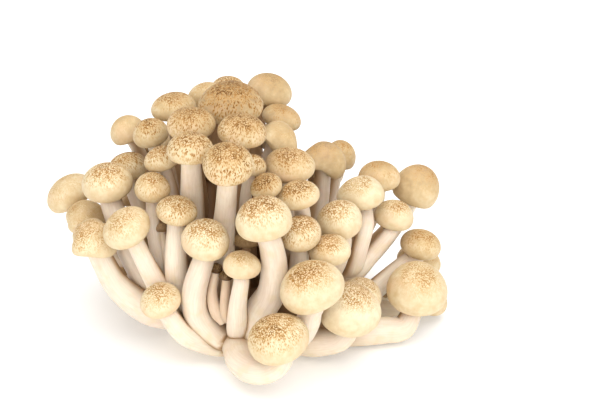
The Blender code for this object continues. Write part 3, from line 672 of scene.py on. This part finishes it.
def make_stem_finish():
    """Cream with broad pink clouds, streaks along the fibres and yellow stains, and painted shade that turns it
    browner the deeper it lies.
    """
    material, shader, add, join = new_finish("stem flesh")
    place = add("TexCoord").outputs["Object"]
    fibre = add("Attribute", attribute_name="fibre").outputs["Vector"]
    deep_shade = add("Attribute", attribute_name="deep_shade").outputs["Fac"]
    low = add("Attribute", attribute_name="low").outputs["Fac"]
    streaks = add("TexNoise", {"Vector": fibre, "Scale": STREAK_SCALE, "Detail": 4.0, "Roughness": 0.6})
    streaks = streaks.outputs["Fac"]
    broad = add("TexNoise", {"Vector": place, "Scale": TINT_SCALE, "Detail": 3.0}).outputs["Fac"]
    tint = ramp(add, broad, ((0.38, 0.0), (0.68, 1.0)))
    tint = arithmetic(add, "MULTIPLY", tint, 0.5)
    lines = ramp(add, streaks, ((0.40, 0.0), (0.62, 1.0)))
    flesh = blend(add, tint, STEM_CREAM, STEM_PINK)
    flesh = blend(add, arithmetic(add, "MULTIPLY", lines, 0.30), flesh, STEM_FIBRE)
    stains = add("TexNoise", {"Vector": place, "Scale": STAIN_SCALE, "Detail": 3.0}).outputs["Fac"]
    stains = ramp(add, stains, ((0.52, 0.0), (0.70, 0.5)))
    flesh = blend(add, stains, flesh, BUTT_YELLOW)
    flesh = blend(add, arithmetic(add, "MULTIPLY", low, 0.5), flesh, BUTT_YELLOW)
    # painted shade: warm brown, and near black-brown where it is deepest
    flesh = blend(add, ramp(add, deep_shade, ((0.0, 0.0), (0.5, 1.0))), flesh, STEM_SHADE_BROWN)
    flesh = blend(add, ramp(add, deep_shade, ((0.4, 0.0), (1.0, 1.0))), flesh, STEM_DEEP_SHADE)
    join(flesh, shader.inputs["Base Color"])
    bump = add("Bump", {"Height": streaks, "Strength": 0.6, "Distance": 0.2 * MM}).outputs["Normal"]
    join(bump, shader.inputs["Normal"])
    join(ramp(add, streaks, ((0.3, 0.38), (0.7, 0.52))), shader.inputs["Roughness"])
    shader.inputs["Subsurface Weight"].default_value = 0.25
    shader.inputs["Subsurface Radius"].default_value = (1.0, 0.6, 0.4)
    shader.inputs["Subsurface Scale"].default_value = 2.5 * MM
    shader.inputs["Specular IOR Level"].default_value = 0.4
    return material


STEM_FLESH = make_stem_finish()
print("finish", STEM_FLESH.name, "with", len(STEM_FLESH.node_tree.nodes), "nodes")

# %% [markdown]
# ## The stems
# A real stem isn't a pipe. Its section is a little flat on one side, it has shallow flutes, it swells to its foot,
# and where feet press together the flesh fills the crease. A voxel remesh would melt them together but would
# lose the lines that the fibres follow. So the circle is carried along each line, its radius changed by a few
# waves, and near another stem's foot it is pushed out by a smooth blend, which fills the crease from both sides.

# %% Carry a circle along every line
STEM_ROWS, STEM_COLUMNS = 60, 36
CREASE, CREASE_FILL = 2.6 * MM, 1 / 9


def carried_rings(lines, widths, chance):
    """Rings of points square to each line. The first side vector is carried from row to row without a twist,
    and the radius is the width times 1 plus a flat wave of 2 turns and flutes of 3 and 5 turns."""
    along = unit(np.gradient(lines, axis=1))
    side = np.array([frame_round(way)[0] for way in along[:, 0]])
    sides = np.empty_like(lines)
    for row in range(lines.shape[1]):
        side = unit(side - along[:, row] * np.sum(side * along[:, row], axis=-1, keepdims=True))
        sides[:, row] = side
    others = np.cross(along, sides)
    angles = np.arange(STEM_COLUMNS) * 2 * math.pi / STEM_COLUMNS
    t = np.linspace(0, 1, lines.shape[1])[None, :, None]
    phase = chance.uniform(0, 2 * math.pi, (3, len(lines), 1, 1))
    turn = chance.uniform(-1.2, 1.2, (len(lines), 1, 1))
    shape = 0.055 * np.cos(2 * angles + phase[0] + turn * t) + 0.022 * np.cos(3 * angles + phase[1] + 2 * t)
    shape = shape + 0.012 * np.cos(5 * angles + phase[2] - turn * t)
    uneven = 1 + 0.045 * np.sin(7 * t + phase[0]) * np.sin(math.pi * t)
    reach = widths[..., None] * (1 + shape) * uneven
    ways = np.cos(angles)[:, None] * sides[:, :, None] + np.sin(angles)[:, None] * others[:, :, None]
    return lines[:, :, None] + ways * reach[..., None], ways, angles


def distance_to(points, line, widths):
    """How far points are outside a tube: the least distance to its segments, less the width there."""
    a, b = line[:-1], line[1:]
    span = b - a
    share = np.einsum("psk,sk->ps", points[:, None] - a, span) / np.sum(span * span, axis=-1)
    share = np.clip(share, 0, 1)
    nearest = a + share[..., None] * span
    width = widths[:-1] + share * np.diff(widths)
    return (np.linalg.norm(points[:, None] - nearest, axis=-1) - width).min(axis=1)


fine_lines = np.array([line_through(line, STEM_ROWS) for line in LINES])
fine_widths = np.array([stem_radii(number, radius, STEM_ROWS) for number, radius in zip(NUMBERS, RADII)])
t_rows = np.linspace(0, 1, STEM_ROWS)
fine_widths = fine_widths * (1 + 0.10 * np.clip((t_rows - 0.93) / 0.07, 0, 1) ** 2)
fine_lines[:, -1] += AXES * (0.16 * HEIGHTS)[:, None]
rings, ways, ring_angles = carried_rings(fine_lines, fine_widths, np.random.default_rng(7))
print("stem points", rings.shape)

# %% Fill the creases between the feet
low_rows = int(STEM_ROWS * 0.62)
low_points = rings[:, :low_rows].reshape(-1, 3)
owner = np.repeat(np.arange(len(rings)), low_rows * STEM_COLUMNS)
near = np.zeros(len(low_points))
for j in range(len(rings)):
    rough_line, rough_width = fine_lines[j, ::4], fine_widths[j, ::4]
    others = owner != j
    close = others & (np.abs(low_points - rough_line.mean(axis=0)).max(axis=1) < 60 * MM)
    apart = distance_to(low_points[close], rough_line, rough_width)
    near[close] = np.maximum(near[close], np.clip(1 - np.abs(apart) / CREASE, 0, 1))
fade = np.clip(1.35 - 2.2 * t_rows[:low_rows], 0, 1)[None, :, None]
near = near.reshape(len(rings), low_rows, STEM_COLUMNS)
push = near**2 * CREASE * CREASE_FILL * fade
rings[:, :low_rows] += ways[:, :low_rows] * push[..., None]
rings[..., 2] = np.maximum(rings[..., 2], 0.15 * MM)
print("deepest fill in mm", round(float(push.max()) / MM, 2))

# %% [markdown]
# ## The shade between the stems
# Between crowded stems the shade looks warm brown, and the creases where feet meet look dark. Light alone shows
# less of that here, because pale flesh passes it on from stem to stem. So the shade is painted: each point gets a
# value for how far in it lies, counted from the stems and caps round it, and the finish turns browner with it.
# Stems in the middle, and the feet behind the front row, get a least value of painted shade besides, on the side
# that faces the eye.

# %% How sheltered a point is
STEM_SHADE = ((1.9, 3.2, 0.56), (2.0, 3.4, 0.45), (2.9, 4.8, 0.3))
INNER_SHADE = {21: 0.5, 22: 0.8, 23: 0.7, 24: 0.65, 25: 0.7, 26: 0.6, 27: 0.5, 29: 0.6, 51: 0.5}
FOOT_SHADE = {
    14: 0.5, 15: 0.5, 16: 0.55, 17: 0.55, 18: 0.5, 30: 0.6, 31: 0.55, 32: 0.75, 33: 0.6, 34: 0.5, 42: 0.5, 45: 0.25,
    46: 0.25,
}
CREASE_SHADE = 0.95


def shade_of(points, ways):
    """Painted shade, 0 in the open to 1 far in among the stems, with every stem taken as a row of balls and
    every cap as one.
    It is the sum of three parts: how hidden the ring is on its most open side, how hidden the point is where it
    faces the middle of the clump, and how hidden it is at all."""
    balls = np.concatenate([fine_lines[:, 2::4].reshape(-1, 3), MIDDLES])
    sizes = np.concatenate([fine_widths[:, 2::4].reshape(-1), RADII])
    hidden = hidden_share(points.reshape(-1, 3), ways.reshape(-1, 3), balls, sizes).reshape(points.shape[:-1])
    open_side = np.percentile(hidden, 15, axis=-1)[..., None]
    inward = -np.sum(ways[..., :2] * unit(points[..., :2]), axis=-1)
    parts = (open_side, 1.0), (hidden, smooth_step(inward, 0.1, 0.8)), (hidden, 1.0)
    shade = sum(share * smooth_step(value, low, high) * weight
                for (value, weight), (low, high, share) in zip(parts, STEM_SHADE))
    return np.clip(shade, 0, 1)


# %% Give every point of the stems its fibres and shade
FIBRE_PRESS, FIBRE_STEP = 0.07, 0.05
LOW_HEIGHT = 9 * MM
length = np.linalg.norm(np.diff(fine_lines, axis=1), axis=2).sum(axis=1)
around = np.stack([np.cos(ring_angles), np.sin(ring_angles)], axis=-1)
fibre = np.zeros(rings.shape)
fibre[..., :2] = around * fine_widths[:, :, None, None]
fibre[..., 2] = (t_rows * length[:, None])[..., None] * FIBRE_PRESS
fibre[..., 2] += np.arange(len(rings))[:, None, None] * FIBRE_STEP
low = np.clip(1 - rings[..., 2] / LOW_HEIGHT, 0, 1)
deep_shade = shade_of(rings, ways)
# painted shade on the stems in the middle and on the feet behind the front row, on the side that faces the eye
towards_foot = 1 - smooth_step(t_rows, 0.15, 0.5)
facing = smooth_step(-ways[..., 1], -0.75, 0.1)
for number in NUMBERS:
    along = INNER_SHADE.get(number, 0.0) + FOOT_SHADE.get(number, 0.0) * towards_foot
    deep_shade[number - 1] = np.maximum(deep_shade[number - 1], along[:, None] * facing[number - 1])
# painted shade: dark lines in the creases where the feet meet
deep_shade[:, :low_rows] = np.maximum(deep_shade[:, :low_rows], CREASE_SHADE * smooth_step(near, 0.6, 0.93) * fade)
print("mean depth of the stems", round(float(deep_shade.mean()), 2))

# %% Make the stems, in two pieces


def with_ends(data, k, ends):
    """One stem's values in a row, and after them those of its two end points."""
    return np.concatenate([data[k].reshape(-1, *data.shape[3:]), ends])


seen = fine_lines[:, 20:, 1].mean(axis=1) < 5 * MM
for name, chosen in (("stems_near", seen), ("stems_far", ~seen)):
    picked = np.flatnonzero(chosen)
    grids = [(rings[k], fine_lines[k, 0], fine_lines[k, -1]) for k in picked]
    values = {
        "fibre": ("FLOAT_VECTOR", np.concatenate([with_ends(fibre, k, np.zeros((2, 3))) for k in picked])),
        "deep_shade": ("FLOAT", np.concatenate([with_ends(deep_shade, k, np.zeros(2)) for k in picked])),
        "low": ("FLOAT", np.concatenate([with_ends(low, k, np.zeros(2)) for k in picked])),
    }
    piece = make_piece(name, grids, STEM_FLESH, True, values)
    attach(piece, "root")
    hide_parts("stem_cluster")
    print(name, len(picked), "stems,", len(piece.data.polygons), "faces")

# %% [markdown]
# ## The youngest mushrooms
# Deep between the stems sit a few that stayed small: brown knobs on thin stems, made darker still with painted
# shade, as they sit in the shadow of the others. They are too small for solids of their own, but the eye finds
# them in the gaps. Each is one more turned cap with fewer columns, placed on its line of sight, and one more
# carried circle.

# %% Make the young ones
YOUNG = (
    # across, up, behind, width and height share of the cap, then the stem's points down from it as (across, up,
    # behind), the stem's girth, the stem's least painted shade, and how brown the cap is, where the highest values
    # make it dark with painted shade
    (-31.0, 31.0, -30, 4.8, 0.95, ((-30.0, 24, -30), (-28.0, 14, -28), (-22, 5, -22)), 1.2, 0.1, 1.3),
    (-12.9, 17.4, -40, 4.2, 1.1, ((-14.2, 10, -38), (-13.4, 4.5, -37), (-10.5, -1, -36)), 1.8, 0.25, 1.8),
    (-9.6, 15.0, -42, 4.9, 0.85, ((-9.7, 10.5, -41), (-10, 5.5, -39), (-9.5, -0.5, -36)), 1.35, 0.3, 1.8),
    (-2.8, 26.8, -34, 9.0, 0.6, ((-3.2, 20, -32), (-4, 10, -28), (-5, 2, -22)), 0.9, 0.6, 0.9),
    (-44.6, 16.0, -10, 4.2, 1.15, ((-42.5, 11, -10), (-38.5, 6, -10), (-30, 2, -10)), 1.2, 0.4, 0.6),
    (42.4, 9.6, -6, 5.2, 0.9, ((38, 7, -7), (31, 5, -8), (22, 3, -8)), 1.2, 0.3, 0.7),
    (-40.5, 40.5, 2, 8.5, 0.9, ((-38.5, 30, 1), (-34, 18, -1), (-26, 7, -2)), 0.9, 0.5, 0.6),
    (-15.0, 48.0, -14, 6.4, 0.9, ((-15.0, 40, -15), (-14.6, 28, -16), (-12, 10, -15)), 1.5, 0.95, 1.5),
    (-37.6, 56.6, 8, 5.2, 0.9, ((-36, 46, 6), (-30, 28, 2), (-22, 12, 0)), 1.1, 0.5, 1.0),
)
YOUNG_ROWS, YOUNG_FIBRE_STEP = 30, 0.07


def make_young():
    """Caps and stems of the young ones, as lists of grids with their values."""
    caps, stems, tones = [], [], []
    for number, (across, up, behind, width, tall, course, girth, _, brown) in enumerate(YOUNG):
        chance = np.random.default_rng(300 + number)
        middle = on_sight_line(across, up, behind)
        below = on_sight_line(*course[0])
        axis = unit(unit(middle - below) + UP)
        radius = width / 2 * MM
        height = radius * tall
        seat = middle - axis * 0.35 * height
        caps.append(cap_grid(seat, axis, height, radius, [(2, 0.04, 0.0), (3, 0.0, 0.03)], chance, 48, 12))
        line = [on_sight_line(*point) for point in course[::-1]]
        line += [seat - axis * 0.3 * radius, seat + axis * 0.1 * height]
        stems.append((line_through(line, YOUNG_ROWS), stem_radii(0, radius * girth, YOUNG_ROWS)))
        tones.append((0.3, brown))
    return caps, stems, tones


def joined(lists):
    """Several arrays end to end."""
    return np.concatenate([np.asarray(part).reshape(len(part), -1) for part in lists])


young_caps, young_stems, young_tones = make_young()
counts = [len(cap[1]) for cap in young_caps]
piece = make_piece("young_caps", [cap[0] for cap in young_caps], CAP_SKIN, False, {
    "from_crown": ("FLOAT", joined([cap[1] for cap in young_caps])),
    "grown": ("FLOAT_VECTOR", joined([cap[2] for cap in young_caps])),
    "combed": ("FLOAT_VECTOR", joined([cap[3] for cap in young_caps])),
    "spread": ("FLOAT", np.ones(sum(counts))),
    "tone": ("FLOAT", np.repeat([tone for tone, _ in young_tones], counts)),
    "brown": ("FLOAT", np.repeat([brown for _, brown in young_tones], counts))})
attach(piece, "root")
print("young caps", len(young_caps), "faces", len(piece.data.polygons))

# %% Their stems
young_lines, young_widths = (np.array(part) for part in zip(*young_stems))
young_rings, young_ways, _ = carried_rings(young_lines, young_widths, np.random.default_rng(8))
young_fibre = np.zeros(young_rings.shape)
young_fibre[..., :2] = around * young_widths[:, :, None, None]
young_fibre[..., 2] = np.linspace(0, 1, YOUNG_ROWS)[None, :, None] * 3 * MM
young_fibre[..., 2] += np.arange(len(YOUNG))[:, None, None] * YOUNG_FIBRE_STEP
# painted shade on the young stems: their listed least, or more where the stems round them hide the light
least_shade = np.array([one[-2] for one in YOUNG])[:, None, None]
young_shade = np.maximum(0.6 * shade_of(young_rings, young_ways), least_shade)


def padded(data, width):
    """The values of every stem in a row, each followed by zeros for its two end points."""
    return joined([np.concatenate([one.reshape(-1, width), np.zeros((2, width))]) for one in data])


young_grids = [(young_rings[k], young_lines[k, 0], young_lines[k, -1]) for k in range(len(YOUNG))]
piece = make_piece("young_stems", young_grids, STEM_FLESH, True, {
    "fibre": ("FLOAT_VECTOR", padded(young_fibre, 3)), "deep_shade": ("FLOAT", padded(young_shade, 1)),
    "low": ("FLOAT", padded(young_shade * 0, 1))})
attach(piece, "root")
print("young stems faces", len(piece.data.polygons))

# %% [markdown]
# ## The butt
# Under the stems is the butt, a low mound that was cut off flat. It could be a cylinder, but its side is a row of
# joined feet, so a profile from the top down to the cut is turned with shallow lobes round it, and its
# underside is flat, because the clump stands on it.

# %% Turn the butt
BUTT_RADIUS = 27.0 * MM
BUTT_PROFILE = ((0.10, 20.0), (0.42, 18.6), (0.64, 17.0), (0.80, 14.0), (0.93, 11.0), (1.01, 8.0), (1.05, 5.5),
                (1.055, 3.5), (1.04, 1.6), (1.02, 0.6), (1.00, 0.12), (0.985, 0.0), (0.90, 0.0), (0.45, 0.0))
BUTT_COLUMNS = 160


def butt_grid():
    """The profile, filled in between its points along straight lines, turned about +Z with a radius of 1 plus
    waves of 3, 5 and 17.
    """
    shares, heights = np.array(BUTT_PROFILE).T
    place = np.linspace(0, len(shares) - 1, 46)
    share = np.interp(place, np.arange(len(shares)), shares)[:, None]
    height = np.interp(place, np.arange(len(shares)), heights)[:, None] * MM
    angles = np.arange(BUTT_COLUMNS) * 2 * math.pi / BUTT_COLUMNS
    lobes = 1 + 0.03 * np.cos(3 * angles + 1.0) + 0.03 * np.cos(5 * angles) + 0.012 * np.cos(17 * angles + 2)
    out = BUTT_RADIUS * share * lobes
    rows = np.stack([out * np.cos(angles), out * np.sin(angles), np.broadcast_to(height, out.shape)], axis=-1)
    return rows, np.array([0, 0, 20.3 * MM]), np.zeros(3)


butt_rows, butt_top, butt_foot = butt_grid()
butt_fibre = np.concatenate([butt_rows.reshape(-1, 3) * (1, 1, 0.25), np.zeros((2, 3))])
butt_low = np.concatenate([np.clip(1 - butt_rows[..., 2] / (12 * MM), 0, 1).reshape(-1), [0.0, 1.0]])
# painted shade on the top of the butt, which lies in shadow under the feet of the stems
butt_shade = np.concatenate([(0.9 * smooth_step(butt_rows[..., 2], 5 * MM, 12 * MM)).reshape(-1), [0.9, 0.0]])
piece = make_piece("butt", [(butt_rows, butt_top, butt_foot)], STEM_FLESH, False,
                   {"fibre": ("FLOAT_VECTOR", butt_fibre), "deep_shade": ("FLOAT", butt_shade),
                    "low": ("FLOAT", butt_low)})
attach(piece, "root")
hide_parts("stem_cluster")
print("butt faces", len(piece.data.polygons))

# %% [markdown]
# ## Floor and light
# The clump stands on white in a room full of soft light, so its shadow is faint. One big light would do for a
# smooth ball, but here it leaves the stems dark behind their neighbours. So there are three: a key in front on
# the right, a weak fill on the left, low enough to reach under the caps, and a broad one overhead. The sky gives
# the rest evenly, and the floor gives off a little light itself, so that it stays white up to the clump.

# %% Lay the floor and light it
FLOOR_WHITE, FLOOR_GLOW = (0.93, 0.93, 0.93), (0.93, 0.97, 1.0)
FLOOR_HALF = 3.0
SKY = (1.0, 0.975, 0.94)
LIT_MIDDLE = Vector((0, 0, 0.035))
SOFTBOXES = (
    # name, place, size and power
    ("key", (0.28, -0.70, 0.42), 0.90, 4.3), ("fill", (-0.40, -0.72, 0.20), 0.80, 2.0),
    ("top", (0.02, 0.00, 0.85), 1.20, 6.6),
)


def make_floor():
    """One large square in near white that gives off a little light."""
    material, shader, add, join = new_finish("floor white")
    shader.inputs["Base Color"].default_value = (*FLOOR_WHITE, 1)
    shader.inputs["Roughness"].default_value = 0.7
    shader.inputs["Specular IOR Level"].default_value = 0.1
    shader.inputs["Emission Color"].default_value = (*FLOOR_GLOW, 1)
    shader.inputs["Emission Strength"].default_value = 0.17
    mesh = bpy.data.meshes.new("floor")
    corners = [(x * FLOOR_HALF, y * FLOOR_HALF, 0) for x, y in ((-1, -1), (1, -1), (1, 1), (-1, 1))]
    mesh.from_pydata(corners, [], [(0, 1, 2, 3)])
    mesh.materials.append(material)
    made = bpy.data.objects.new("floor", mesh)
    bpy.context.scene.collection.objects.link(made)


def add_softbox(name, place, size, power):
    """A square area light that looks at the middle of the clump."""
    light = bpy.data.lights.new(name, "AREA")
    light.shape, light.size, light.energy = "SQUARE", size, power
    made = bpy.data.objects.new(name, light)
    made.location = place
    made.rotation_euler = (LIT_MIDDLE - Vector(place)).to_track_quat("-Z", "Y").to_euler()
    bpy.context.scene.collection.objects.link(made)


make_floor()
for softbox in SOFTBOXES:
    add_softbox(*softbox)
world = bpy.data.worlds.new("studio")
bpy.context.scene.world = world
world.use_nodes = True
world.node_tree.nodes["Background"].inputs["Color"].default_value = (*SKY, 1)
world.node_tree.nodes["Background"].inputs["Strength"].default_value = 0.66
bpy.context.scene.view_settings.view_transform = "Standard"
